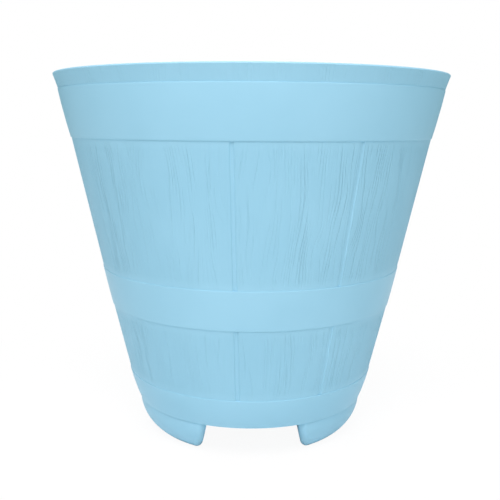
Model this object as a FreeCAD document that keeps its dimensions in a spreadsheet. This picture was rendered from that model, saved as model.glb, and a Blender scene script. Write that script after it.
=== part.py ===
import FreeCAD, Part
import math
import os
import re
import Sketcher

# A moulded barrel planter. Staves, hoops, rim and feet are one shell, whose floor
# is raised over three drainage channels that part the foot into three hollow feet.
# A push-in plug closes the drain hole over each channel, and a drainage grid on
# three legs stands in the feet and lifts out through the mouth.
# Origin at the middle of the footprint, +Z up, one channel opening towards -Y.

SIZES = [
    ("pot_height", 368.0, "ground to the top of the rim"),
    ("rim_radius", 200.0, "outside of the rim"),
    ("rim_thickness", 6.0, "width of the rim's top face"),
    ("rim_round", 2.4, "rounding of both rim edges"),
    ("rim_band", 15.0, "height of the grained band above the top hoop"),
    ("rim_cove", 0.5, "hollow of that band"),
    ("wall", 3.0, "thickness of walls and floor"),
    ("neck_radius", 195.2, "staves at the top hoop's upper edge"),
    ("shoulder_radius", 183.8, "staves at the top hoop's lower edge"),
    ("waist_radius", 151.2, "staves behind the middle of the middle hoop"),
    ("ankle_radius", 129.6, "staves at the bottom hoop's upper edge"),
    ("base_radius", 120.3, "lower edge of the bottom hoop"),
    ("top_hoop_width", 47.0, "top hoop, upper to lower edge"),
    ("top_hoop_crown", 0.55, "swell of its face"),
    ("middle_hoop_height", 155.5, "ground to the middle of the middle hoop"),
    ("middle_hoop_width", 39.0, "middle hoop, upper to lower edge"),
    ("middle_hoop_crown", 0.2, "swell of its face"),
    ("bottom_hoop_width", 30.5, "bottom hoop, upper to lower edge"),
    ("bottom_hoop_crown", 0.8, "swell of its face"),
    ("hoop_lip_upper", 0.7, "how far an upper hoop edge stands off the staves"),
    ("hoop_lip_lower", 1.2, "how far a lower hoop edge stands off the staves"),
    ("stave_pairs", 3, "pairs of a narrow and a wide stave round the barrel"),
    ("narrow_stave", 36.0, "degrees from seam to seam across a narrow stave"),
    ("seam_width", 4.5, "groove between two staves"),
    ("seam_depth", 1.0, "depth of that groove"),
    ("seam_turn", 23.5, "degrees from +X to the first narrow stave"),
    ("foot_height", 33.5, "ground to the bottom hoop and to the channel roofs"),
    ("foot_step", 0.8, "how far the feet stand in from the bottom hoop"),
    ("foot_inset", 18.0, "how far the feet curve in down to the ground"),
    ("channel_count", 3, "drainage channels, and feet between them"),
    ("channel_half_width", 44.0, "half a channel's width at its roof"),
    ("channel_flare", 6.0, "how much further each channel wall is out at the ground"),
    ("foot_round", 6.0, "rounding of a foot's upright edges and of its sole"),
    ("drain_circle", 68.0, "pot axis to a drain hole's axis"),
    ("drain_radius", 9.0, "drain hole"),
    ("collar_width", 3.5, "wall of the collar round a drain hole"),
    ("collar_depth", 4.0, "collar below the channel roof"),
    ("plug_clearance", 0.1, "gap between a plug's stem and its hole"),
    ("plug_wall", 2.0, "wall of the hollow stem"),
    ("plug_tip", 1.5, "stem that shows below the collar, and its lead-in"),
    ("plug_flange_width", 4.0, "flange beyond the drain hole"),
    ("plug_flange_thickness", 2.0, "flange on the floor"),
    ("tab_width", 13.0, "pull tab"),
    ("tab_height", 8.0, "pull tab above the flange"),
    ("tab_thickness", 3.2, "pull tab"),
    ("reservoir_depth", 32.0, "raised floor to the underside of the grid"),
    ("grid_thickness", 3.0, "grid plate"),
    ("grid_clearance", 1.0, "grid plate to the pot wall"),
    ("skirt_inset", 6.0, "plate edge to the stiffening skirt below it"),
    ("skirt_depth", 6.0, "skirt and ribs below the plate"),
    ("rib_thickness", 2.2, "skirt and ribs"),
    ("rib_count", 12, "ribs between hub and skirt"),
    ("hub_radius", 15.0, "hub where the ribs meet"),
    ("leg_circle", 84.0, "pot axis to a leg's axis"),
    ("leg_span", 26.0, "cross-shaped leg, end to end"),
    ("leg_web", 3.0, "webs of the leg"),
    ("slot_width", 4.5, "drainage slots"),
    ("inner_slot_start", 24.0, "pot axis to the inner ring of slots"),
    ("inner_slot_end", 55.0, "end of the inner ring of slots"),
    ("outer_slot_start", 101.0, "pot axis to the outer ring of slots"),
    ("outer_slot_end", 114.0, "end of the outer ring of slots"),
    ("inner_slot_count", 12, "slots of the inner ring"),
    ("outer_slot_count", 36, "slots of the outer ring"),
]
NAMES = {alias for alias, value, note in SIZES}

doc = FreeCAD.newDocument("barrel_planter")
sheet = doc.addObject("Spreadsheet::Sheet", "sizes")
for row, (alias, value, note) in enumerate(SIZES, start=1):
    sheet.set(f"A{row}", note)
    sheet.set(f"B{row}", str(value))
    sheet.setAlias(f"B{row}", alias)
doc.recompute()


def formula(text):
    """The same formula with each size read from the sheet."""
    return re.sub(r"[a-z_]+", lambda m: f"sizes.{m[0]}" if m[0] in NAMES else m[0], text)


def number(text):
    """What a formula comes to now."""
    return float(sheet.evalExpression(formula(text)))


# Levels and radii that several pieces share, worked out from the sheet.
NECK = "(pot_height - rim_band)"
SHOULDER = "(pot_height - rim_band - top_hoop_width)"
WAIST = "middle_hoop_height"
WAIST_UPPER = "(middle_hoop_height + middle_hoop_width / 2)"
WAIST_LOWER = "(middle_hoop_height - middle_hoop_width / 2)"
ANKLE = "(foot_height + bottom_hoop_width)"
FLOOR = "(foot_height + wall)"
GRID_LEVEL = "(foot_height + wall + reservoir_depth)"
FOOT_RADIUS = "(base_radius - foot_step)"
TOE_RADIUS = "(base_radius - foot_step - foot_inset)"
FOOT_CURVE = "((foot_inset ^ 2 + foot_height ^ 2) / (2 * foot_inset))"
RIM_INSIDE = "(rim_radius - rim_thickness)"
STEM_LENGTH = "(wall + collar_depth + plug_tip)"
STEM_RADIUS = "(drain_radius - plug_clearance)"
HOOP_ROOT = "(seam_depth + (wall - seam_depth) / 3)"


def between(level, low, low_radius, high, high_radius):
    """Radius of the straight stave line from one level to another, at a level on it."""
    return f"({low_radius} + ({high_radius} - {low_radius}) * ({level} - {low}) / ({high} - {low}))"


def lower_stave(level):
    return between(level, ANKLE, "ankle_radius", WAIST, "waist_radius")


def upper_stave(level):
    return between(level, WAIST, "waist_radius", SHOULDER, "shoulder_radius")


def crowned(across, along, rise):
    """Radius of an arc over a chord with the given legs that rises so far off it."""
    return f"((({across}) ^ 2 + ({along}) ^ 2) / 4 + ({rise}) ^ 2) / (2 * ({rise}))"


def origin_part(body, role):
    """A plane or an axis of the body's own origin."""
    return next(item for item in body.Origin.OriginFeatures if item.Role == role)


def new_body(name):
    body = doc.addObject("PartDesign::Body", name)
    body.Label = name
    return body


LEFT = 1
RIGHT = -1
TOUCH = 1e-6


def outline(body, name, plane, corners, level=None, turn=None):
    """A closed outline. Each corner is (x, y), or (x, y, radius, LEFT or RIGHT)
    where the edge that leaves it is an arc that bends that way."""
    sketch = body.newObject("Sketcher::SketchObject", name)
    sketch.AttachmentSupport = [(origin_part(body, plane), "")]
    sketch.MapMode = "FlatFace"
    if level:
        sketch.setExpression("AttachmentOffset.Base.z", formula(level))
    if turn:
        sketch.AttachmentOffset = FreeCAD.Placement(
            FreeCAD.Vector(), FreeCAD.Rotation(FreeCAD.Vector(0, 1, 0), number(turn)))
        sketch.setExpression("AttachmentOffset.Rotation.Angle", formula(turn))
    points = [FreeCAD.Vector(number(corner[0]), number(corner[1]), 0) for corner in corners]
    ends = []
    for index, corner in enumerate(corners):
        start = points[index]
        stop = points[(index + 1) % len(points)]
        if len(corner) == 2:
            sketch.addGeometry(Part.LineSegment(start, stop))
            ends.append((1, 2))
        else:
            sketch.addGeometry(arc_between(start, stop, number(corner[2]), corner[3]))
            ends.append((1, 2) if corner[3] == LEFT else (2, 1))
    for index, corner in enumerate(corners):
        before = index - 1 if index else len(corners) - 1
        sketch.addConstraint(Sketcher.Constraint(
            "Coincident", before, ends[before][1], index, ends[index][0]))
        for axis, place in (("DistanceX", corner[0]), ("DistanceY", corner[1])):
            bind(sketch, formula(place), Sketcher.Constraint(
                axis, -1, 1, index, ends[index][0], number(place)))
        if len(corner) == 4:
            bind(sketch, formula(corner[2]), Sketcher.Constraint(
                "Radius", index, number(corner[2])))
    return sketch


def arc_between(start, stop, radius, side):
    chord = stop - start
    middle = (start + stop) / 2
    off = math.sqrt(max(radius ** 2 - chord.Length ** 2 / 4, 0.0))
    left = FreeCAD.Vector(-chord.y, chord.x, 0).normalize()
    centre = middle + left * off * side
    first, last = (start, stop) if side == LEFT else (stop, start)
    angles = [math.atan2(point.y - centre.y, point.x - centre.x) for point in (first, last)]
    circle = Part.Circle(centre, FreeCAD.Vector(0, 0, 1), radius)
    return Part.ArcOfCircle(circle, angles[0], angles[1])


def round_outline(body, name, plane, x, y, radius, level=None):
    """One circle."""
    sketch = body.newObject("Sketcher::SketchObject", name)
    sketch.AttachmentSupport = [(origin_part(body, plane), "")]
    sketch.MapMode = "FlatFace"
    if level:
        sketch.setExpression("AttachmentOffset.Base.z", formula(level))
    centre = FreeCAD.Vector(number(x), number(y), 0)
    sketch.addGeometry(Part.Circle(centre, FreeCAD.Vector(0, 0, 1), number(radius)))
    bind(sketch, formula(x), Sketcher.Constraint("DistanceX", -1, 1, 0, 3, number(x)))
    bind(sketch, formula(y), Sketcher.Constraint("DistanceY", -1, 1, 0, 3, number(y)))
    bind(sketch, formula(radius), Sketcher.Constraint("Radius", 0, number(radius)))
    return sketch


def bind(sketch, text, constraint):
    """Add a dimension that follows a formula."""
    index = sketch.addConstraint(constraint)
    sketch.setExpression(f"Constraints[{index}]", text)


def revolve(body, name, sketch):
    feature = body.newObject("PartDesign::Revolution", name)
    feature.Profile = sketch
    feature.ReferenceAxis = (sketch, ["V_Axis"])
    feature.Angle = 360
    return settle(body, feature)


def pad(body, name, sketch, length, symmetric=False):
    feature = body.newObject("PartDesign::Pad", name)
    return extrude(body, feature, sketch, length, symmetric, False)


def pocket(body, name, sketch, length, symmetric=False, along_normal=True):
    """Cut along the sketch's normal, against it or to both sides, and see that it cut."""
    before = body.Shape.Volume
    feature = body.newObject("PartDesign::Pocket", name)
    extrude(body, feature, sketch, length, symmetric, along_normal)
    if not body.Shape.Volume < before:
        raise ValueError(f"{name} cuts nothing")
    return feature


def extrude(body, feature, sketch, length, symmetric, reverse):
    feature.Profile = sketch
    feature.Type = "Length"
    feature.SideType = "Symmetric" if symmetric else "One side"
    feature.Reversed = reverse and not symmetric
    feature.setExpression("Length", formula(length))
    return settle(body, feature)


def around(body, name, features, count):
    """Repeat features evenly round the pot's axis."""
    feature = body.newObject("PartDesign::PolarPattern", name)
    feature.Originals = features
    feature.Axis = (origin_part(body, "Z_Axis"), [""])
    feature.Angle = 360
    feature.setExpression("Occurrences", formula(count))
    return settle(body, feature)


def fillet(body, name, chosen, radius):
    """Round the edges of the body so far that pass the test."""
    base = body.Tip
    edges = [f"Edge{i}" for i, edge in enumerate(base.Shape.Edges, start=1) if chosen(edge)]
    if not edges:
        raise ValueError(f"{name} finds no edge")
    feature = body.newObject("PartDesign::Fillet", name)
    feature.Base = (base, edges)
    feature.setExpression("Radius", formula(radius))
    return settle(body, feature)


def settle(body, feature):
    body.Tip = feature
    doc.recompute()
    return feature


def make_pot_blank():
    """The shell's outside as one solid: staves, seams, hoops, rim and feet."""
    body = new_body("pot_blank")
    revolve(body, "staves", outline(body, "stave_outline", "XZ_Plane", [
        ("0", "0"),
        (TOE_RADIUS, "0", FOOT_CURVE, LEFT),
        (FOOT_RADIUS, "foot_height"),
        ("ankle_radius", ANKLE),
        ("waist_radius", WAIST),
        ("shoulder_radius", SHOULDER),
        ("neck_radius", NECK,
         crowned("rim_radius - neck_radius", "rim_band - rim_round", "rim_cove"), RIGHT),
        ("rim_radius", "pot_height - rim_round", "rim_round", LEFT),
        ("rim_radius - rim_round", "pot_height"),
        ("0", "pot_height"),
    ]))
    cut_channels(body, "0")
    round_feet(body, "0", "foot_round")
    cut_seams(body)
    wrap_hoops(body)
    drill_drains(body)
    return body


def cut_channels(body, growth):
    """Three straight channels with leaning walls that meet on the axis, or with
    some growth, the space round them that stays floor."""
    roof = f"(foot_height + {growth})"
    top = f"(channel_half_width + {growth})"
    bottom = f"(channel_half_width + channel_flare + {growth})"
    one = pocket(body, "channel", outline(body, "channel_outline", "XZ_Plane", [
        (f"-{bottom}", "0"),
        (bottom, "0"),
        (top, roof),
        (f"-{top}", roof),
    ]), "2 * base_radius")
    around(body, "channels", [one], "channel_count")


def round_feet(body, sole, radius):
    """Round each foot's upright edges and the edges of its sole."""
    bottom = number(sole)
    top = number(FLOOR)

    def chosen(edge):
        box = edge.BoundBox
        if box.ZMax - box.ZMin < TOUCH:
            return abs(box.ZMax - bottom) < TOUCH
        return box.ZMax < top + TOUCH and edge.Curve.TypeId != "Part::GeomCircle"

    fillet(body, "foot_edges", chosen, radius)


def cut_seams(body):
    """Flat-bottomed grooves on both sides of each narrow stave, from behind the
    bottom hoop to behind the top one."""
    low = "(foot_height + bottom_hoop_width / 2)"
    high = "(pot_height - rim_band - top_hoop_width / 2)"
    low_radius = between(low, "foot_height", FOOT_RADIUS, ANKLE, "ankle_radius")
    high_radius = between(high, SHOULDER, "shoulder_radius", NECK, "neck_radius")
    line = [
        (low_radius, low),
        ("ankle_radius", ANKLE),
        ("waist_radius", WAIST),
        ("shoulder_radius", SHOULDER),
        (high_radius, high),
    ]
    outer = [(f"{radius} + 2 * seam_depth", level) for radius, level in line]
    inner = [(f"{radius} - seam_depth", level) for radius, level in line]
    sides = []
    for side, turn in (("near", "seam_turn"), ("far", "seam_turn + narrow_stave")):
        sketch = outline(body, f"{side}_seam_outline", "XZ_Plane", outer + inner[::-1], turn=turn)
        sides.append(pocket(body, f"{side}_seam", sketch, "seam_width", symmetric=True))
    around(body, "seams", sides, "stave_pairs")


def wrap_hoops(body):
    """Three hoops that stand proud of the staves and fill the seams behind them."""
    hoop(body, "top_hoop", [("shoulder_radius", SHOULDER), ("neck_radius", NECK)],
         "top_hoop_crown")
    hoop(body, "middle_hoop", [
        (lower_stave(WAIST_LOWER), WAIST_LOWER),
        ("waist_radius", WAIST),
        (upper_stave(WAIST_UPPER), WAIST_UPPER),
    ], "middle_hoop_crown")
    hoop(body, "bottom_hoop", [("base_radius - hoop_lip_lower", "foot_height"),
                               ("ankle_radius", ANKLE)], "bottom_hoop_crown")


def hoop(body, name, stave_line, crown):
    """A ring over a stretch of the stave line, given from its lower end to its upper."""
    low_radius, low = stave_line[0]
    high_radius, high = stave_line[-1]
    low_edge = f"({low_radius} + hoop_lip_lower)"
    high_edge = f"({high_radius} + hoop_lip_upper)"
    face = crowned(f"{high_edge} - {low_edge}", f"{high} - {low}", crown)
    root = [(f"{radius} - {HOOP_ROOT}", level) for radius, level in stave_line[::-1]]
    revolve(body, name, outline(
        body, f"{name}_outline", "XZ_Plane",
        [(low_edge, low, face, LEFT), (high_edge, high)] + root))


def drill_drains(body):
    """A collar under each channel roof, and the drain hole through it."""
    collar = pad(body, "collar", round_outline(
        body, "collar_outline", "XY_Plane", "0", "-drain_circle", "drain_radius + collar_width",
        level="foot_height - collar_depth"), "collar_depth + wall / 2")
    drain = pocket(body, "drain", round_outline(
        body, "drain_outline", "XY_Plane", "0", "-drain_circle", "drain_radius",
        level="foot_height - collar_depth"), "collar_depth + 2 * wall")
    around(body, "drains", [collar, drain], "channel_count")


def make_pot_cavity():
    """The space inside the shell, down into the hollow feet, with the raised floor left out."""
    body = new_body("pot_cavity")
    inner_curve = f"({FOOT_CURVE} - wall)"
    curve_axis = f"({FOOT_RADIUS} - {FOOT_CURVE})"
    well_radius = f"({curve_axis} + sqrt({inner_curve} ^ 2 - (foot_height - wall) ^ 2))"
    revolve(body, "hollow", outline(body, "hollow_outline", "XZ_Plane", [
        ("0", "wall"),
        (well_radius, "wall", inner_curve, LEFT),
        (f"{FOOT_RADIUS} - wall", "foot_height"),
        ("ankle_radius - wall", ANKLE),
        ("waist_radius - wall", WAIST),
        ("shoulder_radius - wall", SHOULDER),
        ("neck_radius - wall", NECK),
        (RIM_INSIDE, "pot_height - rim_round", "rim_round", RIGHT),
        (f"{RIM_INSIDE} + rim_round", "pot_height"),
        (f"{RIM_INSIDE} + rim_round", "pot_height + wall"),
        ("0", "pot_height + wall"),
    ]))
    cut_channels(body, "wall")
    round_feet(body, "wall", "foot_round - wall")
    return body


def make_pot_shell():
    blank = make_pot_blank()
    cavity = make_pot_cavity()
    shell = doc.addObject("Part::Cut", "pot_shell")
    shell.Base = blank
    shell.Tool = cavity
    shell.Label = "pot_shell"
    doc.recompute()
    return shell


def make_drainage_grid():
    """A slotted plate with a stiffening skirt and ribs below, on three cross-shaped legs."""
    body = new_body("drainage_grid")
    edge = f"({lower_stave(GRID_LEVEL)} - wall - grid_clearance)"
    skirt = f"({edge} - skirt_inset)"
    ribs = f"({GRID_LEVEL} - skirt_depth)"
    revolve(body, "plate", outline(body, "plate_outline", "XZ_Plane", [
        ("0", ribs),
        ("hub_radius", ribs),
        ("hub_radius", GRID_LEVEL),
        (f"{skirt} - rib_thickness", GRID_LEVEL),
        (f"{skirt} - rib_thickness", ribs),
        (skirt, ribs),
        (skirt, GRID_LEVEL),
        (edge, GRID_LEVEL),
        (edge, f"{GRID_LEVEL} + grid_thickness"),
        ("0", f"{GRID_LEVEL} + grid_thickness"),
    ]))
    rib = pad(body, "rib", outline(body, "rib_outline", "XZ_Plane", [
        ("hub_radius / 2", ribs),
        (f"{skirt} - rib_thickness / 2", ribs),
        (f"{skirt} - rib_thickness / 2", f"{GRID_LEVEL} + grid_thickness / 2"),
        ("hub_radius / 2", f"{GRID_LEVEL} + grid_thickness / 2"),
    ]), "rib_thickness", symmetric=True)
    around(body, "ribs", [rib], "rib_count")
    cut_slots(body, "inner")
    cut_slots(body, "outer")
    leg = pad(body, "leg", leg_outline(body), f"{GRID_LEVEL} + grid_thickness / 2 - wall")
    around(body, "legs", [leg], "channel_count")
    return body


def cut_slots(body, ring):
    """A ring of radial slots with round ends, set midway between the ribs."""
    start = f"({ring}_slot_start + slot_width / 2)"
    stop = f"({ring}_slot_end - slot_width / 2)"
    end = crowned("0", "slot_width", "slot_width / 3")
    sketch = outline(body, f"{ring}_slot_outline", "XY_Plane", [
        (start, "-slot_width / 2"),
        (stop, "-slot_width / 2", end, LEFT),
        (stop, "slot_width / 2"),
        (start, "slot_width / 2", end, LEFT),
    ], level=GRID_LEVEL)
    half_pitch = f"180 / {ring}_slot_count"
    turn_flat(sketch, half_pitch)
    one = pocket(body, f"{ring}_slot", sketch, "2 * grid_thickness")
    around(body, f"{ring}_slots", [one], f"{ring}_slot_count")


def turn_flat(sketch, angle):
    """Turn a level sketch about the pot's axis."""
    place = sketch.AttachmentOffset
    place.Rotation = FreeCAD.Rotation(FreeCAD.Vector(0, 0, 1), number(angle))
    sketch.AttachmentOffset = place
    sketch.setExpression("AttachmentOffset.Rotation.Angle", formula(angle))


def leg_outline(body):
    """A cross in plan, on the axis of the foot that faces +Y."""
    arm = "leg_span / 2"
    web = "leg_web / 2"
    quarter = [(web, web), (web, arm), (f"-{web}", arm)]
    corners = []
    for turn in range(4):
        for x, y in quarter:
            for step in range(turn):
                x, y = negative(y), x
            corners.append((x, f"leg_circle + {y}"))
    return outline(body, "leg_outline", "XY_Plane", corners, level="wall")


def negative(text):
    return text[1:] if text.startswith("-") else f"-{text}"


def make_drain_plug(index):
    """A push-in plug with a hollow stem, a flange that seats on the floor and a pull tab."""
    body = new_body(f"drain_plug_{index + 1}")
    top = f"({STEM_LENGTH} + plug_flange_thickness)"
    revolve(body, "stem", outline(body, "stem_outline", "XZ_Plane", [
        ("0", f"{STEM_LENGTH} - plug_wall"),
        (f"{STEM_RADIUS} - plug_wall", f"{STEM_LENGTH} - plug_wall"),
        (f"{STEM_RADIUS} - plug_wall", "0"),
        (f"{STEM_RADIUS} - plug_wall / 2", "0"),
        (STEM_RADIUS, "plug_tip"),
        (STEM_RADIUS, STEM_LENGTH),
        ("drain_radius + plug_flange_width", STEM_LENGTH),
        ("drain_radius + plug_flange_width", top),
        ("0", top),
    ]))
    bend = crowned("0", "tab_width", "tab_height / 3")
    pad(body, "tab", outline(body, "tab_outline", "XZ_Plane", [
        ("-tab_width / 2", STEM_LENGTH),
        ("tab_width / 2", STEM_LENGTH),
        ("tab_width / 2", f"{top} + tab_height * 2 / 3", bend, LEFT),
        ("-tab_width / 2", f"{top} + tab_height * 2 / 3"),
    ]), "tab_thickness", symmetric=True)
    turn = f"360 / channel_count * {index}"
    upright = FreeCAD.Rotation(FreeCAD.Vector(0, 0, 1), number(turn))
    body.Placement = FreeCAD.Placement(FreeCAD.Vector(), upright)
    body.setExpression("Placement.Rotation.Angle", formula(turn))
    body.setExpression("Placement.Base.x", formula(f"drain_circle * sin({turn})"))
    body.setExpression("Placement.Base.y", formula(f"-drain_circle * cos({turn})"))
    body.setExpression("Placement.Base.z", formula(f"{FLOOR} - {STEM_LENGTH}"))
    doc.recompute()
    return body


def check(pieces):
    """Stop if anything in the document failed or a piece isn't one sound solid."""
    for item in doc.Objects:
        if "Invalid" in item.State or "Error" in item.State:
            raise ValueError(f"{item.Label} failed: {item.State}")
    for piece in pieces:
        shape = piece.Shape
        if shape.isNull() or not shape.isValid() or len(shape.Solids) != 1:
            raise ValueError(f"{piece.Label} isn't one sound solid")


def main():
    pieces = [make_pot_shell(), make_drainage_grid()]
    pieces += [make_drain_plug(index) for index in range(int(number("channel_count")))]
    doc.recompute()
    check(pieces)
    os.makedirs("parts", exist_ok=True)
    for piece in pieces:
        piece.Shape.exportStep(f"parts/{piece.Label}.step")
        box = piece.Shape.optimalBoundingBox()
        print(f"{piece.Label}: {piece.Shape.Volume / 1000:.1f} cm3, "
              f"z {box.ZMin:.2f} to {box.ZMax:.2f}, {len(piece.Shape.Faces)} faces")


main()
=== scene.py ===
# %% [markdown]
# # A barrel planter
# The real object is one plastic moulding that looks like a small barrel: upright staves,
# three hoops, a rim, and a foot that three drainage channels part. A grid and three plugs
# lie inside. The CAD frame gives every piece its place, and this script gives the shell
# its fine relief and each piece its finish.

# %% Load the frame
import math

import bpy
import numpy as np
from mathutils import Euler, Matrix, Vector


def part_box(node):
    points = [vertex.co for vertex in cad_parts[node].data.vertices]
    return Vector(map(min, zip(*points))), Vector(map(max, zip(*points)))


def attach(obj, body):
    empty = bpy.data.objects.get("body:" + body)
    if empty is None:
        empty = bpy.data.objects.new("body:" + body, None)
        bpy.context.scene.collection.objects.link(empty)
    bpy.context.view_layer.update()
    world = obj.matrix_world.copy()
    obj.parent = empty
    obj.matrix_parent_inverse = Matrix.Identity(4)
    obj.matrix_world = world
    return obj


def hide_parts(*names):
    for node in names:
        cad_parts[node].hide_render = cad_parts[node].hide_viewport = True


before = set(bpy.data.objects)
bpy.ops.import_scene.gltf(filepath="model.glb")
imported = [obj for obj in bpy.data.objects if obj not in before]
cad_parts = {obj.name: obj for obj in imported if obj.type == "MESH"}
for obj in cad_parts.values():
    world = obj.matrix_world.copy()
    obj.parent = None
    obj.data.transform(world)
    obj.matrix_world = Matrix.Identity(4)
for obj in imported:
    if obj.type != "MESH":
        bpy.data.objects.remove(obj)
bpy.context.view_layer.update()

MM = 0.001
shell_low, shell_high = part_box("pot_shell")
print("CAD nodes:", sorted(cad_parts))
print("shell height in mm:", round(shell_high.z / MM, 1))

# %% [markdown]
# ## The wall's profile
# A turned shape is a profile carried round an axis. The profile starts at the lower edge
# of the bottom hoop, climbs the outside, goes over the rim and comes down the inside.
# It could be drawn as a curve and spun, but an array of points lets every later step,
# such as the seams and the grain, work on the same rows.

# %% Sizes of the wall
RIM_RADIUS = min(-shell_low.x, -shell_low.y, shell_high.x, shell_high.y)
POT_HEIGHT = shell_high.z
RIM_BAND = 15 * MM
RIM_THICKNESS = 6 * MM
RIM_ROUND = 1.3 * MM
RIM_COVE = 0.1 * MM
WALL = 3 * MM
NECK_RADIUS = 195.2 * MM
SHOULDER_RADIUS = 183.8 * MM
WAIST_RADIUS = 151.2 * MM
ANKLE_RADIUS = 129.6 * MM
BASE_RADIUS = 120.3 * MM
FOOT_HEIGHT = 33.5 * MM
FOOT_STEP = 0.8 * MM
TOP_HOOP_WIDTH = 47 * MM
TOP_HOOP_CROWN = 0.55 * MM
MIDDLE_HOOP_WIDTH = 39 * MM
MIDDLE_HOOP_HEIGHT = 155.5 * MM
MIDDLE_HOOP_CROWN = 0.2 * MM
BOTTOM_HOOP_WIDTH = 30.5 * MM
BOTTOM_HOOP_CROWN = 0.8 * MM
LIP_UPPER = 0.5 * MM
LIP_LOWER = 0.65 * MM
HOOP_EDGE_ROUND = 0.3 * MM

NECK = POT_HEIGHT - RIM_BAND
SHOULDER = NECK - TOP_HOOP_WIDTH
WAIST_TOP = MIDDLE_HOOP_HEIGHT + MIDDLE_HOOP_WIDTH / 2
WAIST_BOTTOM = MIDDLE_HOOP_HEIGHT - MIDDLE_HOOP_WIDTH / 2
ANKLE = FOOT_HEIGHT + BOTTOM_HOOP_WIDTH
FLOOR_TOP = FOOT_HEIGHT + WALL


def stave_radius(height):
    """Outside of the staves: straight lines from ankle to waist to shoulder."""
    heights = [ANKLE, MIDDLE_HOOP_HEIGHT, SHOULDER]
    return float(np.interp(height, heights, [ANKLE_RADIUS, WAIST_RADIUS, SHOULDER_RADIUS]))


print("staves in mm at the waist:", round(stave_radius(MIDDLE_HOOP_HEIGHT) / MM, 1))

# %% [markdown]
# Plastic doesn't come out of a mould with knife edges, so the hoops' edges are rounded.
# An arc starts and ends some way from its corner. With ends a and b and corner c, the
# point at t is the mean of a, c and b with weights (1-t)^2, 2wt(1-t) and t^2, and that is
# an exact circle if w is the sine of half the corner's angle. A Bevel modifier could do
# it too, but here each edge has its own rounding.

# %% Corners and stretches
ARC_POINTS = 3


def smooth(low, high, value):
    """0 below low, 1 above high, and between them the S-curve 3t^2 - 2t^3."""
    t = np.clip((value - low) / (high - low), 0, 1)
    return t * t * (3 - 2 * t)


def rounded_corner(before, corner, after, reach):
    """Points of a circular arc that cuts the corner off, starting at this reach from it. It has
    one point more for each millimetre of reach."""
    t = np.linspace(0, 1, ARC_POINTS + int(reach / MM))[:, None]
    to_before = (before - corner) / np.linalg.norm(before - corner)
    to_after = (after - corner) / np.linalg.norm(after - corner)
    weight = math.sqrt((1 - float(to_before @ to_after)) / 2)
    ends = np.array([corner + to_before * reach, corner, corner + to_after * reach])
    shares = np.hstack([(1 - t) ** 2, 2 * weight * t * (1 - t), t ** 2])
    return shares @ ends / shares.sum(axis=1, keepdims=True)


def stretch(start, stop, swell, steps):
    """Inner points of a line that swells to its right by a parabola, 4 * swell * t * (1 - t).
    On a swelling line they crowd at the ends, so the shading of its edges stays narrow."""
    t = np.linspace(0, 1, steps + 1)[1:-1, None]
    if swell:
        t = smooth(0, 1, smooth(0, 1, t))
    along = stop - start
    right = np.array([along[1], -along[0]]) / np.linalg.norm(along)
    return start + along * t + right * 4 * swell * t * (1 - t)


print("S-curve at a quarter of its way:", smooth(0, 1, 0.25))

# %% [markdown]
# The list below is the whole profile. A row is a corner and the stretch that leaves it:
# radius, height and rounding, then the stretch's swell, its steps and its share of wood
# grain. The staves have all of the grain, the band under the rim less than half.

# %% The profile
STAVE = 1.0
BAND = 0.4
CLOSE = 0.02 * MM
waist_low = stave_radius(WAIST_BOTTOM)
waist_high = stave_radius(WAIST_TOP)
rim_inside = RIM_RADIUS - RIM_THICKNESS
PROFILE = [
    (BASE_RADIUS, FOOT_HEIGHT, 0, BOTTOM_HOOP_CROWN, 5, 0),
    (ANKLE_RADIUS + LIP_UPPER, ANKLE, HOOP_EDGE_ROUND, 0, 1, 0),
    (ANKLE_RADIUS, ANKLE, 0, 0, 9, STAVE),
    (waist_low, WAIST_BOTTOM, 0, 0, 1, 0),
    (waist_low + LIP_LOWER, WAIST_BOTTOM, HOOP_EDGE_ROUND, MIDDLE_HOOP_CROWN, 5, 0),
    (waist_high + LIP_UPPER, WAIST_TOP, HOOP_EDGE_ROUND, 0, 1, 0),
    (waist_high, WAIST_TOP, 0, 0, 16, STAVE),
    (SHOULDER_RADIUS, SHOULDER, 0, 0, 1, 0),
    (SHOULDER_RADIUS + LIP_LOWER, SHOULDER, HOOP_EDGE_ROUND, TOP_HOOP_CROWN, 5, 0),
    (NECK_RADIUS + LIP_UPPER, NECK, HOOP_EDGE_ROUND, 0, 1, 0),
    (NECK_RADIUS, NECK, 0, -RIM_COVE, 4, BAND),
    (RIM_RADIUS, POT_HEIGHT - RIM_ROUND, 0, 0, 1, 0),
    (RIM_RADIUS, POT_HEIGHT, RIM_ROUND, 0, 1, 0),
    (rim_inside, POT_HEIGHT, RIM_ROUND, 0, 1, 0),
    (rim_inside, POT_HEIGHT - RIM_ROUND, 0, 0, 1, 0),
    (NECK_RADIUS - WALL, NECK, 0, 0, 1, 0),
    (SHOULDER_RADIUS - WALL, SHOULDER, 0, 0, 1, 0),
    (WAIST_RADIUS - WALL, MIDDLE_HOOP_HEIGHT, 0, 0, 1, 0),
    (ANKLE_RADIUS - WALL, ANKLE, 0, 0, 1, 0),
    (BASE_RADIUS - FOOT_STEP - WALL, FOOT_HEIGHT, 0, 0, 1, 0),
]


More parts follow.
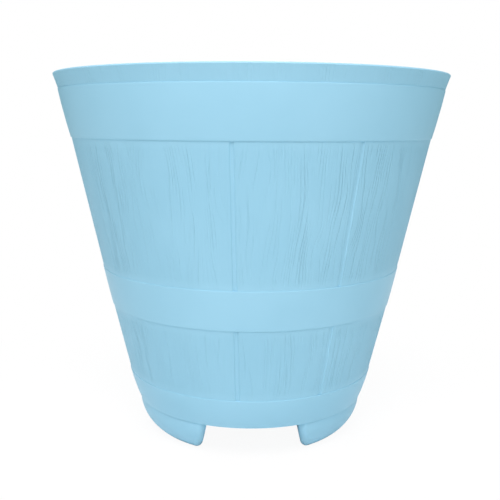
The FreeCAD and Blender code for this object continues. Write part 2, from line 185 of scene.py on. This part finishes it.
def wall_profile():
    """Radius and height of each profile point, its share of grain, and 1 where seams cut in."""
    places = np.array([row[:2] for row in PROFILE])
    points = []
    grain = []
    seamed = []
    for number, (_, _, reach, swell, steps, share) in enumerate(PROFILE):
        here = places[number]
        corner = here[None, :]
        if reach:
            corner = rounded_corner(places[number - 1], here, places[number + 1], reach)
        meets_staves = STAVE in (share, PROFILE[number - 1][-1])
        points.append(corner)
        grain.append(np.full(len(corner), 0.0))
        seamed.append(np.full(len(corner), float(meets_staves)))
        if number + 1 < len(PROFILE):
            line = stretch(here, places[number + 1], swell, steps)
            points.append(line)
            grain.append(np.full(len(line), float(share)))
            seamed.append(np.full(len(line), float(share == STAVE)))
    points = np.vstack(points)
    apart = np.append(True, np.linalg.norm(np.diff(points, axis=0), axis=1) > CLOSE)
    return points[apart], np.concatenate(grain)[apart], np.concatenate(seamed)[apart]


profile, row_grain, row_seamed = wall_profile()
print("profile points:", len(profile))

# %% [markdown]
# ## Staves and seams
# Narrow and wide staves take turns round the barrel, parted by grooves of constant width,
# while the pot tapers. So the columns near a seam keep a distance in millimetres from it,
# and the columns between two seams keep an angle. The groove has a flat floor and eased
# edges. A Boolean with six thin boxes would cut it as well, but would leave a mesh that
# the grain can't run through.

# %% Columns of the wall
STAVE_PAIRS = 3
NARROW_STAVE = 36.0
WIDE_STAVE = 360 / STAVE_PAIRS - NARROW_STAVE
SEAM_START = math.radians(23.5)
SEAM_DEPTH = 0.7 * MM
SEAM_FLOOR = 1.5 * MM
SEAM_EDGE = 2.15 * MM
CLEAR_DEGREES = 2.0
COLUMN_DEGREES = 0.28

# Columns beside a seam: on its floor, up its eased edge, and one on the stave.
beside_seam = np.array([0, 1 * MM, SEAM_FLOOR, 1.65 * MM, 1.82 * MM, 2 * MM, SEAM_EDGE, 3 * MM])


def stave_columns(start, span):
    """Columns of a stave: those of its left seam, even angles, and those of its right seam.
    Each has its stave's start, the angle from there, and an offset from a seam in metres."""
    clear = span - 2 * CLEAR_DEGREES
    even = CLEAR_DEGREES + np.linspace(0, clear, round(clear / COLUMN_DEGREES))
    near = len(beside_seam)
    turn = np.concatenate([np.zeros(near), even, np.full(near - 1, span)])
    offset = np.concatenate([beside_seam, np.zeros(len(even)), -beside_seam[:0:-1]])
    at_seam = np.concatenate([np.ones(near), np.zeros(len(even)), np.ones(near - 1)])
    return np.stack([np.full(len(turn), start), turn, offset, at_seam, np.full(len(turn), span)])


pair = np.hstack([stave_columns(0, NARROW_STAVE), stave_columns(NARROW_STAVE, WIDE_STAVE)])
columns = np.tile(pair, STAVE_PAIRS)
columns[0] += np.repeat(np.arange(STAVE_PAIRS), pair.shape[1]) * 360 / STAVE_PAIRS
column_start, column_turn, column_offset, column_near, column_span = columns
groove = column_near * (1 - smooth(SEAM_FLOOR, SEAM_EDGE, np.abs(column_offset)))
print("columns round the barrel:", len(groove))

# %% [markdown]
# ## Wood grain in the staves
# The mould was made from grained wood, so the staves carry long wandering strokes in
# clusters, with smoother wood between them. The strokes are lines of equal value of a
# coordinate that runs across the stave and is pushed sideways by smooth noise, which
# makes them bend, meet and close in long loops as the rings of a sawn board do. A stroke
# keeps its width where the rings lie far apart and fades where they crowd. A real relief
# is chosen, so that the strokes are in the mesh and not only in its shading.

# %% Smooth noise and strokes
GRAIN_RADIUS = 160 * MM
STROKE_DEPTH = 0.14 * MM
STROKE_WIDTH = 0.6 * MM
STROKE_PITCH = 2.9 * MM
STROKE_WANDER = 8 * MM
LATTICE = 64
BOARD_SHIFT = 7.31
BROAD_SEED, FINE_SEED, ENDS_SEED = 3, 4, 5
# Noise cells in millimetres, across the stave and along it.
BROAD_CELL = (26, 80)
FINE_CELL = (9, 26)
FINE_SHARE = 0.3
STROKE_LENGTH = 28
# Noise at which a stroke has ended, and at which it is whole.
ENDED, WHOLE = -0.5, 0.3
SLOPE_STEP = 0.2 * MM
WIDEST_SPREAD = 4.0
# Spread of the rings at which strokes are gone, and at which they are whole.
CROWDED, LOOSE = 0.35, 0.6
# Clusters of strokes on each kind of stave: centre, spread and lean in degrees, and strength.
FIGURES = {
    NARROW_STAVE: [(4, 3.0, 0, 0.6), (12, 3.0, 0, 0.4), (20, 3.2, 1.8, 1), (31, 3.6, 0.8, 0.9)],
    WIDE_STAVE: [(5, 4.0, 0, 0.9), (17, 7.0, 0, 1.2), (39, 9.0, 2.0, 1.5), (55.5, 2.5, 0, 0.5),
                 (66, 5.0, 1.0, 0.5), (72.5, 1.2, 0, 0.5), (77.5, 1.2, 0, 0.5)],
}
PLAIN_STRENGTH = 0.25
STRONGEST = 1.6
RISE_SHARE = 0.2


def soft_noise(x, y, seed):
    """Values from -1 to 1: random numbers on a lattice, blended along both axes by S-curves."""
    lattice = np.random.default_rng(seed).uniform(-1, 1, (LATTICE, LATTICE))
    column = np.floor(x).astype(int)
    row = np.floor(y).astype(int)
    u = smooth(0, 1, x - column)
    v = smooth(0, 1, y - row)
    left = column % LATTICE
    right = (column + 1) % LATTICE
    below = lattice[row % LATTICE, left] * (1 - u) + lattice[row % LATTICE, right] * u
    above = lattice[(row + 1) % LATTICE, left] * (1 - u) + lattice[(row + 1) % LATTICE, right] * u
    return below * (1 - v) + above * v


def ring_numbers(across, height, board):
    """The distance across the stave, pushed sideways by smooth noise, over the pitch. Each
    whole number is the middle of a stroke."""
    x = across / MM
    y = height / MM
    broad = soft_noise(x / BROAD_CELL[0] + board, y / BROAD_CELL[1] + board, BROAD_SEED)
    fine = soft_noise(x / FINE_CELL[0] + board, y / FINE_CELL[1], FINE_SEED)
    push = broad + FINE_SHARE * fine
    return (across + push * STROKE_WANDER) / STROKE_PITCH


def ring_spread(across, height, board):
    """How far apart the rings lie here, over the pitch: the inverse of their slope across
    the stave, which is a difference over a small step to both sides."""
    more = ring_numbers(across + SLOPE_STEP, height, board)
    less = ring_numbers(across - SLOPE_STEP, height, board)
    slope = np.abs(more - less) * STROKE_PITCH / (2 * SLOPE_STEP)
    return 1 / np.maximum(slope, 1 / WIDEST_SPREAD)


def stroke_strength(across, height, board, span, rings, spread):
    """How strong the strokes are: bell curves across the stave at the places of its figure,
    each leaning with the height, times a noise that ends each stroke along its length.
    The boards are plainer towards the foot, and strokes fade where rings crowd."""
    degrees = np.degrees(across / GRAIN_RADIUS)
    rise = (height - MIDDLE_HOOP_HEIGHT) / (SHOULDER - MIDDLE_HOOP_HEIGHT)
    strength = np.full(across.shape, PLAIN_STRENGTH)
    for width, clusters in FIGURES.items():
        for centre, reach, lean, share in clusters:
            bell = np.exp(-((degrees - centre - lean * rise) / reach) ** 2)
            strength = strength + share * bell * (span == width)
    ends = soft_noise(np.round(rings) + board, height / MM / STROKE_LENGTH, ENDS_SEED)
    strength = np.minimum(strength, STRONGEST) * smooth(ENDED, WHOLE, ends)
    return strength * (1 - RISE_SHARE + RISE_SHARE * rise) * smooth(CROWDED, LOOSE, spread)


def stroke_depths(rings, spread, strength):
    """Bell-shaped lines in the middle of each ring, of one width however far apart they lie."""
    away = np.abs(rings - np.round(rings)) * STROKE_PITCH * spread
    return STROKE_DEPTH * strength * np.exp(-((away / STROKE_WIDTH) ** 2))


print("strokes in mm: pitch", STROKE_PITCH / MM, "depth", round(STROKE_DEPTH / MM, 2))

# %% [markdown]
# Now the profile goes round. Rows are profile points, columns are those of the staves,
# and the whole grid comes from a few array products. Five attributes stay with the points
# for the finish: where a point is on its stave, how much grain it has, its ring number,
# how far apart the rings lie there and how strong the strokes are.

# %% The wall as one grid


def wall_surface():
    """The profile carried round the axis. A column's angle is its stave's start, plus its own
    turn, plus its offset over the radius. Seams and strokes sink the radius."""
    radius = profile[:, 0][:, None]
    turn = np.radians(column_turn) + column_offset / radius
    angle = SEAM_START + np.radians(column_start) + turn
    height = profile[:, 1][:, None] + 0 * angle
    across = turn * GRAIN_RADIUS
    board = column_start / NARROW_STAVE * BOARD_SHIFT + 0 * angle
    grain = row_grain[:, None] * (1 - groove / 2) + 0 * angle
    rings = ring_numbers(across, height, board)
    spread = ring_spread(across, height, board)
    strength = stroke_strength(across, height, board, column_span, rings, spread)
    strength = strength * grain * (1 - groove)
    sunk = SEAM_DEPTH * groove * row_seamed[:, None] + stroke_depths(rings, spread, strength)
    reach = radius - sunk
    points = np.stack([reach * np.cos(angle), reach * np.sin(angle), height], axis=-1)
    place = np.stack([across, height, board], axis=-1)
    fields = {"grain": grain, "rings": rings, "spread": spread, "strokes": strength}
    return points.reshape(-1, 3), place.reshape(-1, 3), fields


def grid_faces(rows, columns):
    """Quads of a grid that closes on itself sideways, each counter-clockwise from outside."""
    i = np.arange(rows - 1)[:, None] * columns
    j = np.arange(columns)[None, :]
    k = (j + 1) % columns
    return np.stack([i + j, i + k, i + columns + k, i + columns + j], axis=-1).reshape(-1, 4)


wall_points, wall_place, wall_fields = wall_surface()
wall_faces = grid_faces(len(profile), len(wall_points) // len(profile))
print("wall points:", len(wall_points), "quads:", len(wall_faces))

# %% [markdown]
# ## Feet, floor and drains
# Below the bottom hoop the shell isn't a turned shape: channels cross it, and the feet are
# hollow. The CAD solid has that form in full, so its triangles up to the floor are copied
# with their exact normals and go into the same mesh as the wall.

# %% Triangles of the base


def base_triangles(node):
    """Points, triangles and corner normals of the CAD node's part at and below its floor."""
    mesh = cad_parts[node].data
    points = np.empty((len(mesh.vertices), 3), np.float32)
    mesh.vertices.foreach_get("co", points.ravel())
    corners = np.empty(len(mesh.loops), np.int32)
    mesh.loops.foreach_get("vertex_index", corners)
    normals = np.empty((len(mesh.loops), 3), np.float32)
    mesh.corner_normals.foreach_get("vector", normals.ravel())
    triangles = corners.reshape(-1, 3)
    low = points[triangles][:, :, 2].max(axis=1) < FLOOR_TOP + CLOSE
    merged, numbers = np.unique(points[triangles[low]].reshape(-1, 3), axis=0, return_inverse=True)
    return merged, numbers.reshape(-1, 3), normals.reshape(-1, 3, 3)[low].reshape(-1, 3)


base_points, base_faces, base_normals = base_triangles("pot_shell")
print("base triangles:", len(base_faces))

# %% [markdown]
# One mesh takes both parts. Edges that turn by more than the crease angle stay sharp, the
# rest is shaded smoothly, and the base keeps the normals of its exact surfaces.

# %% The shell
CREASE = math.radians(35)


def add_attribute(mesh, name, kind, field, values, empty_count):
    """A per-point attribute: the wall's values, then zeros for the base."""
    width = values.shape[1] if values.ndim > 1 else 1
    filled = np.concatenate([values.ravel(), np.zeros(empty_count * width)])
    mesh.attributes.new(name, kind, "POINT").data.foreach_set(field, filled.astype(np.float32))


def make_shell():
    """Wall and base as one mesh with the wall's attributes, in place of the CAD shell."""
    mesh = bpy.data.meshes.new("planter_shell")
    points = np.vstack([wall_points, base_points])
    faces = wall_faces.tolist() + (base_faces + len(wall_points)).tolist()
    mesh.from_pydata(points.tolist(), [], faces)
    add_attribute(mesh, "stave_place", "FLOAT_VECTOR", "vector", wall_place, len(base_points))
    for name, values in wall_fields.items():
        add_attribute(mesh, name, "FLOAT", "value", values.ravel(), len(base_points))
    mesh.shade_smooth()
    mesh.set_sharp_from_angle(angle=CREASE)
    normals = np.empty((len(mesh.loops), 3), np.float32)
    mesh.corner_normals.foreach_get("vector", normals.ravel())
    normals[-len(base_normals):] = base_normals
    mesh.normals_split_custom_set(normals.tolist())
    shell = bpy.data.objects.new("planter_shell", mesh)
    bpy.context.scene.collection.objects.link(shell)
    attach(shell, "pot")
    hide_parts("pot_shell")
    return shell


shell = make_shell()
shell_triangles = 2 * len(wall_faces) + len(base_faces)
print("shell triangles:", shell_triangles)

# %% [markdown]
# ## Shader maths
# A material is a graph of nodes, and a graph is hard to read in a script. So a small class
# stands for one socket: adding or multiplying such values adds the Math nodes, and one
# method makes every other node.

# %% A value in a material


class Value:
    """An output socket in a material's node tree."""

    def __init__(self, tree, socket=None):
        self.tree = tree
        self.socket = socket

    def node(self, kind, settings=None, sockets=None, output=0):
        """A node of this type: its settings first, then the values or links of its sockets."""
        made = self.tree.nodes.new(kind)
        for name, setting in (settings or {}).items():
            setattr(made, name, setting)
        for name, given in (sockets or {}).items():
            if isinstance(given, Value):
                self.tree.links.new(given.socket, made.inputs[name])
            else:
                made.inputs[name].default_value = given
        return Value(self.tree, made.outputs[output] if made.outputs else None)

    def math(self, operation, first, second=0.0):
        return self.node("ShaderNodeMath", {"operation": operation}, {0: first, 1: second})

    def __add__(self, other):
        return self.math("ADD", self, other)

    def __radd__(self, other):
        return self.math("ADD", other, self)

    def __sub__(self, other):
        return self.math("SUBTRACT", self, other)

    def __rsub__(self, other):
        return self.math("SUBTRACT", other, self)

    def __mul__(self, other):
        return self.math("MULTIPLY", self, other)

    def __rmul__(self, other):
        return self.math("MULTIPLY", other, self)

    def noise(self, vector, detail=2.0, roughness=0.5):
        """Noise from 0 to 1, with a grain of one unit."""
        sockets = {"Vector": vector, "Scale": 1.0, "Detail": detail, "Roughness": roughness}
        return self.node("ShaderNodeTexNoise", {}, sockets)

    def stretched(self, vector, size):
        """The vector divided by a size along each axis, so that noise gets that grain."""
        factors = tuple(1 / length for length in size)
        settings = {"operation": "MULTIPLY"}
        return self.node("ShaderNodeVectorMath", settings, {0: vector, 1: factors})

    def ramp(self, value, low, high):
        """0 at low, 1 at high, and an S-curve between them."""
        settings = {"interpolation_type": "SMOOTHSTEP"}
        sockets = {"Value": value, "From Min": low, "From Max": high}
        return self.node("ShaderNodeMapRange", settings, sockets)

    def blend(self, share, first, second):
        """Two colours mixed."""
        sockets = {"Factor": share, "A": first, "B": second}
        return self.node("ShaderNodeMix", {"data_type": "RGBA"}, sockets, output=2)


def new_material(name):
    """An empty material, and a value to build it from."""
    material = bpy.data.materials.new(name)
    material.use_nodes = True
    material.node_tree.nodes.clear()
    return material, Value(material.node_tree)


print("operators on values: + - *")

# %% [markdown]
# ## Sky-blue plastic
# The shell is coloured right through, so its colour hardly varies: what the eye sees on it
# is light on relief, but for a little painted shade in the grooves of the strokes. The
# hoops are satin, and the staves are duller, because fine fibre lines from the wooden
# pattern run down them between the strokes. Those lines are thinner than the mesh's
# columns, so they are a bump. Everywhere there is the faint orange peel of moulded plastic.

# %% Finish of the shell
SKY_BLUE = (0.320, 0.616, 0.776, 1)
DEEP_BLUE = (0.276, 0.559, 0.714, 1)
# How far clouds, staves, fibres and strokes take the colour to the deep blue. The strokes' share is
# painted shade in their grooves.
CLOUD_SHADE, STAVE_SHADE, FIBRE_SHADE, STROKE_PAINTED_SHADE = 0.3, 0.6, 0.3, 0.15
# Roughness of the hoops, and what the staves and the peel add to it.
SATIN, STAVE_DULLNESS, PEEL_DULLNESS = 0.40, 0.10, 0.08
PLASTIC_IOR = 1.49
SPECULAR_LEVEL = 0.1
NOISE_MEAN = 0.5
BUMP_UNIT = 0.1 * MM
# Grains of noise: across the stave, along it, and from board to board.
SWAY = (20 * MM, 80 * MM, 1)
SWAY_REACH = 9 * MM
FIBRE = (1.1 * MM, 30 * MM, 1)
PORE = (0.8 * MM, 9 * MM, 1)
PATCH = (24 * MM, 110 * MM, 1)
PATCH_LOW, PATCH_HIGH = 0.38, 0.62
PEEL = 2.2 * MM
CLOUD = 70 * MM
CLOUD_LOW, CLOUD_HIGH = 0.3, 0.7
# Fibres outside the patches, what a patch adds to them, and pores.
FIBRE_SHARE, PATCH_SHARE, PORE_SHARE = 0.35, 0.75, 0.4
# A stroke's shoulder and floor, in rings from its middle.
SHOULDER_AWAY, FLOOR_AWAY = 0.24, 0.04
LINE_RELIEF, PEEL_RELIEF, STROKE_RELIEF = 1.7, 0.05, 3.0


def shell_finish():
    """Two blues and a satin skin. The bump is the sum of fibre lines and peel, less the strokes,
    whose depth falls with the distance from the nearest whole ring number."""
    material, start = new_material("sky_blue_plastic")
    place = start.node("ShaderNodeAttribute", {"attribute_name": "stave_place"}, output="Vector")
    grain = start.node("ShaderNodeAttribute", {"attribute_name": "grain"}, output="Fac")
    rings = start.node("ShaderNodeAttribute", {"attribute_name": "rings"}, output="Fac")
    spread = start.node("ShaderNodeAttribute", {"attribute_name": "spread"}, output="Fac")
    strokes = start.node("ShaderNodeAttribute", {"attribute_name": "strokes"}, output="Fac")
    spot = start.node("ShaderNodeTexCoord", output="Object")
    sway = start.noise(start.stretched(place, SWAY))
    aside = start.node("ShaderNodeCombineXYZ", {}, {"X": (sway - NOISE_MEAN) * SWAY_REACH})
    pushed = start.node("ShaderNodeVectorMath", {"operation": "ADD"}, {0: place, 1: aside})
    fibres = start.noise(start.stretched(pushed, FIBRE), detail=1.5)
    pores = start.noise(start.stretched(pushed, PORE), detail=1)
    patches = start.ramp(start.noise(start.stretched(place, PATCH)), PATCH_LOW, PATCH_HIGH)
    peel = start.noise(start.stretched(spot, (PEEL,) * 3), detail=1)
    cloud = start.ramp(start.noise(start.stretched(spot, (CLOUD,) * 3)), CLOUD_LOW, CLOUD_HIGH)
    lines = (fibres - NOISE_MEAN) * (patches * PATCH_SHARE + FIBRE_SHARE)
    lines = lines + (pores - NOISE_MEAN) * PORE_SHARE
    away = start.math("ABSOLUTE", start.math("FRACT", rings + 0.5) - 0.5) * spread
    cut = start.ramp(away, SHOULDER_AWAY, FLOOR_AWAY) * strokes
    height = grain * lines * LINE_RELIEF + peel * PEEL_RELIEF - cut * STROKE_RELIEF
    bump = start.node("ShaderNodeBump", {}, {"Strength": 1.0, "Distance": BUMP_UNIT, "Height": height})
    # The strokes' share of this darkening is painted shade in their grooves; the rest is the plastic's
    # own tone.
    dark = cloud * CLOUD_SHADE + grain * (STAVE_SHADE - fibres * FIBRE_SHADE) + cut * STROKE_PAINTED_SHADE
    colour = start.blend(dark, SKY_BLUE, DEEP_BLUE)
    roughness = SATIN + grain * STAVE_DULLNESS + (peel - NOISE_MEAN) * PEEL_DULLNESS
    sockets = {"Base Color": colour, "Roughness": roughness, "Normal": bump, "IOR": PLASTIC_IOR,
               "Specular IOR Level": SPECULAR_LEVEL}
    surface = start.node("ShaderNodeBsdfPrincipled", {}, sockets)
    start.node("ShaderNodeOutputMaterial", {}, {"Surface": surface})
    return material


shell.data.materials.append(shell_finish())
print("finish of the shell:", shell.data.materials[0].name)

# %% [markdown]
# ## Grid and plugs
# The grid is dark grey plastic with the fine matt skin of a spark-worn mould, and the plugs
# are soft black rubber with a pale bloom of dust. Both pieces already have their full form
# in the CAD nodes, so they only need a finish.

# %% Finishes of the grid and the plugs
GREY = (0.085, 0.094, 0.103, 1)
GREY_WORN = (0.104, 0.114, 0.124, 1)
RUBBER = (0.042, 0.042, 0.046, 1)
RUBBER_BLOOM = (0.085, 0.083, 0.082, 1)
SPECKS_IN_A_CLOUD = 24
CLOUD_PART, SPECK_PART = 0.7, 0.3
FIRST_COLOUR_BELOW, SECOND_COLOUR_ABOVE = 0.38, 0.68
SPECK_DULLNESS = 0.2


def speckled_finish(name, colour, second_colour, roughness, speck, relief):
    """A matt skin: specks of noise of one size in its bump and clouds of two colours."""
    material, start = new_material(name)
    spot = start.node("ShaderNodeTexCoord", output="Object")
    specks = start.noise(start.stretched(spot, (speck,) * 3), detail=2)
    clouds = start.noise(start.stretched(spot, (SPECKS_IN_A_CLOUD * speck,) * 3), detail=3)
    mottle = clouds * CLOUD_PART + specks * SPECK_PART
    share = start.ramp(mottle, FIRST_COLOUR_BELOW, SECOND_COLOUR_ABOVE)
    bump = start.node("ShaderNodeBump", {}, {"Strength": 1.0, "Distance": relief, "Height": specks})
    sockets = {"Base Color": start.blend(share, colour, second_colour), "Normal": bump,
               "Roughness": roughness + (specks - NOISE_MEAN) * SPECK_DULLNESS}
    surface = start.node("ShaderNodeBsdfPrincipled", {}, sockets)
    start.node("ShaderNodeOutputMaterial", {}, {"Surface": surface})
    return material


def dress(node, material):
    """Give a CAD node its finish."""
    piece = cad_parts[node]
    piece.data.materials.clear()
    piece.data.materials.append(material)


plastic = speckled_finish("grey_plastic", GREY, GREY_WORN,
                          roughness=0.5, speck=0.7 * MM, relief=0.05 * MM)
dress("drainage_grid", plastic)
rubber = speckled_finish("black_rubber", RUBBER, RUBBER_BLOOM,
                         roughness=0.65, speck=0.5 * MM, relief=0.04 * MM)
for number in (1, 2, 3):
    dress(f"drain_plug_{number}", rubber)
print("dressed CAD nodes: drainage_grid and three drain plugs")

# %% [markdown]
# ## The studio
# A product shot on white: a floor, soft cool light from everywhere, and two large warm
# lamps, so that the shaded sides turn a deeper blue as they do in the photo. The camera
# sees floor and world as white through the Light Path node, so no extra light falls on the
# planter, and the floor keeps a small share of its shadow near the feet.

# %% Floor and world
FLOOR_SIZE = 12.0
FLOOR_LEVEL = -0.1 * MM
SHADOW_NEAR = 0.18
SHADOW_FAR = 0.45
SHADOW_SHARE = 0.06
SKY_LIGHT = 0.38
SKY_COLOUR = (0.72, 1, 1, 1)
PAPER = (0.95, 0.95, 0.95, 1)
WHITE = (1, 1, 1, 1)


def seen_directly(start):
    """1 for rays from the camera, 0 for light that falls on things or is mirrored by them."""
    return start.node("ShaderNodeLightPath", output="Is Camera Ray")


def floor_finish():
    """Pale paper that the camera sees as white, but for a share of the shadow near the feet."""
    material, start = new_material("studio_floor")
    spot = start.node("ShaderNodeTexCoord", output="Object")
    distance = start.node("ShaderNodeVectorMath", {"operation": "LENGTH"}, {0: spot}, output="Value")
    far = start.ramp(distance, SHADOW_NEAR, SHADOW_FAR)
    white = seen_directly(start) * (1 - SHADOW_SHARE + far * SHADOW_SHARE)
    paper = start.node("ShaderNodeBsdfDiffuse", {}, {"Color": PAPER})
    glow = start.node("ShaderNodeEmission", {}, {"Color": WHITE, "Strength": 1.0})
    surface = start.node("ShaderNodeMixShader", {}, {0: white, 1: paper, 2: glow})
    start.node("ShaderNodeOutputMaterial", {}, {"Surface": surface})
    return material


def make_floor():
    """One square just below the feet, which belongs to the stage and not to the part."""
    half = FLOOR_SIZE / 2
    mesh = bpy.data.meshes.new("studio_floor")
    corners = [(-half, -half), (half, -half), (half, half), (-half, half)]
    mesh.from_pydata([(x, y, FLOOR_LEVEL) for x, y in corners], [], [(0, 1, 2, 3)])
    mesh.materials.append(floor_finish())
    floor = bpy.data.objects.new("studio_floor", mesh)
    bpy.context.scene.collection.objects.link(floor)


def make_world():
    """White for the camera, and a weaker cool sky for all other rays."""
    world = bpy.data.worlds.new("studio_world")
    world.use_nodes = True
    world.node_tree.nodes.clear()
    start = Value(world.node_tree)
    sky = start.node("ShaderNodeBackground", {}, {"Color": SKY_COLOUR, "Strength": SKY_LIGHT})
    white = start.node("ShaderNodeBackground", {}, {"Color": WHITE, "Strength": 1.0})
    light = start.node("ShaderNodeMixShader", {}, {0: seen_directly(start), 1: sky, 2: white})
    start.node("ShaderNodeOutputWorld", {}, {"Surface": light})
    bpy.context.scene.world = world


make_floor()
make_world()
print("floor and world in place")

# %% [markdown]
# The key lamp is large, so the shading rolls off softly. It hangs high in front and a little
# to the left, which brightens the ledges of the hoops and leaves the right side darker.
# A weaker lamp behind gives the back the same colour as the front.

# %% Lamps
LAMP_AIM = (0, 0, 0.2)
WARM = (1, 0.83, 0.83)


def add_lamp(name, place, size, power):
    """A square soft box that faces the planter: the direction to its aim gives tilt and turn."""
    lamp = bpy.data.lights.new(name, "AREA")
    lamp.size = size
    lamp.energy = power
    lamp.color = WARM
    holder = bpy.data.objects.new(name, lamp)
    bpy.context.scene.collection.objects.link(holder)
    holder.location = place
    direction = np.array(LAMP_AIM) - np.array(place)
    flat = math.hypot(direction[0], direction[1])
    tilt = math.atan2(flat, -direction[2])
    holder.rotation_euler = (tilt, 0, math.atan2(-direction[0], direction[1]))


add_lamp("key_lamp", place=(-0.1, -1.08, 1.68), size=1.0, power=38)
add_lamp("back_lamp", place=(0, 1.9, 1.2), size=1.2, power=26)
print("lamps:", [item.name for item in bpy.data.lights])

# %% [markdown]
# ## The camera
# It stands just below the rim's height, close enough for the barrel to taper in
# perspective as well as in shape, and looks slightly down at it.

# %% Camera
FOCAL_PIXELS = 747
IMAGE_PIXELS = 500
SENSOR = 36.0
CAMERA_PLACE = (-0.0208, -0.7937, 0.3206)
LOOK_DOWN = math.radians(9.64)
LOOK_TURN = math.radians(-1.46)
LOOK_ROLL = math.radians(0.35)


def add_camera():
    """The lens is the sensor's width times the focal length over the width, both in pixels."""
    camera = bpy.data.cameras.new("photo_camera")
    camera.sensor_width = SENSOR
    camera.lens = SENSOR * FOCAL_PIXELS / IMAGE_PIXELS
    holder = bpy.data.objects.new("photo_camera", camera)
    bpy.context.scene.collection.objects.link(holder)
    level = Euler((math.pi / 2 - LOOK_DOWN, 0, LOOK_TURN)).to_matrix()
    turned = level @ Matrix.Rotation(LOOK_ROLL, 3, "Z")
    holder.rotation_euler = turned.to_euler()
    holder.location = CAMERA_PLACE
    bpy.context.scene.camera = holder
    return camera


bpy.context.scene.view_settings.view_transform = "Standard"
print("lens in mm:", round(add_camera().lens, 1))
